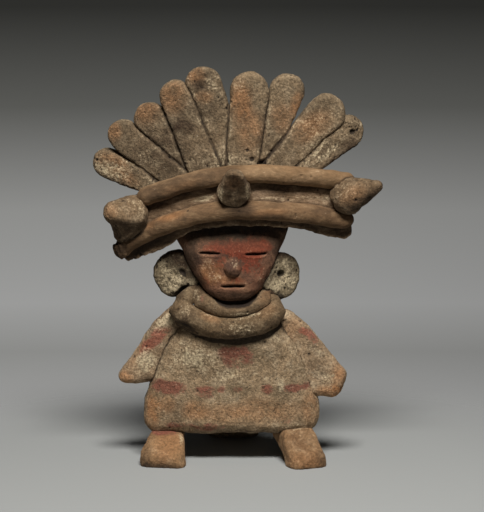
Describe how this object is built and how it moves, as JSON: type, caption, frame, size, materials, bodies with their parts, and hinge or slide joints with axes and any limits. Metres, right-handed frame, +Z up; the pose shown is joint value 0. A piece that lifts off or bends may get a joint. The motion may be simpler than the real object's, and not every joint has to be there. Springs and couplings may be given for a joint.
{
  "type": "figurine",
  "caption": "Standing fired-clay figurine with a fan headdress of layered feathers over a banded brow, ear discs, rope collars and a rear prop.",
  "frame": {"origin": "middle of the part's box, on the ground that its feet and rear support stand on", "axes": "+Z up; the face looks along -Y; +X on the right of someone who looks at the face"},
  "size_m": [0.1156, 0.0774, 0.1607],
  "materials": {
    "body_clay": "unglazed, weathered, matte",
    "arm_clay": "unglazed, weathered, matte",
    "foot_clay": "unglazed, weathered, matte",
    "face_clay": "unglazed, weathered, matte",
    "disc_clay": "unglazed, weathered, matte",
    "collar_clay": "unglazed, weathered, matte",
    "band_clay": "unglazed, weathered, matte",
    "coil_clay": "unglazed, weathered, matte",
    "stud_clay": "unglazed, weathered, matte",
    "feather_clay": "unglazed, weathered, matte"
  },
  "bodies": {
    "root": {"body": "body_clay", "neck": "body_clay", "rear_support": "body_clay", "left_arm": "arm_clay", "right_arm": "arm_clay", "left_foot": "foot_clay", "right_foot": "foot_clay", "head": "face_clay", "nose": "face_clay", "left_ear_disc": "disc_clay", "right_ear_disc": "disc_clay", "outer_collar": "collar_clay", "inner_collar": "collar_clay", "headband": "band_clay", "upper_coil": "coil_clay", "lower_coil": "coil_clay", "left_stud": "stud_clay", "middle_stud": "stud_clay", "right_stud": "stud_clay", "feather_1": "feather_clay", "feather_2": "feather_clay", "feather_3": "feather_clay", "feather_4": "feather_clay", "feather_5": "feather_clay", "feather_6": "feather_clay", "feather_7": "feather_clay", "feather_8": "feather_clay", "feather_9": "feather_clay"}
  },
  "joints": []
}
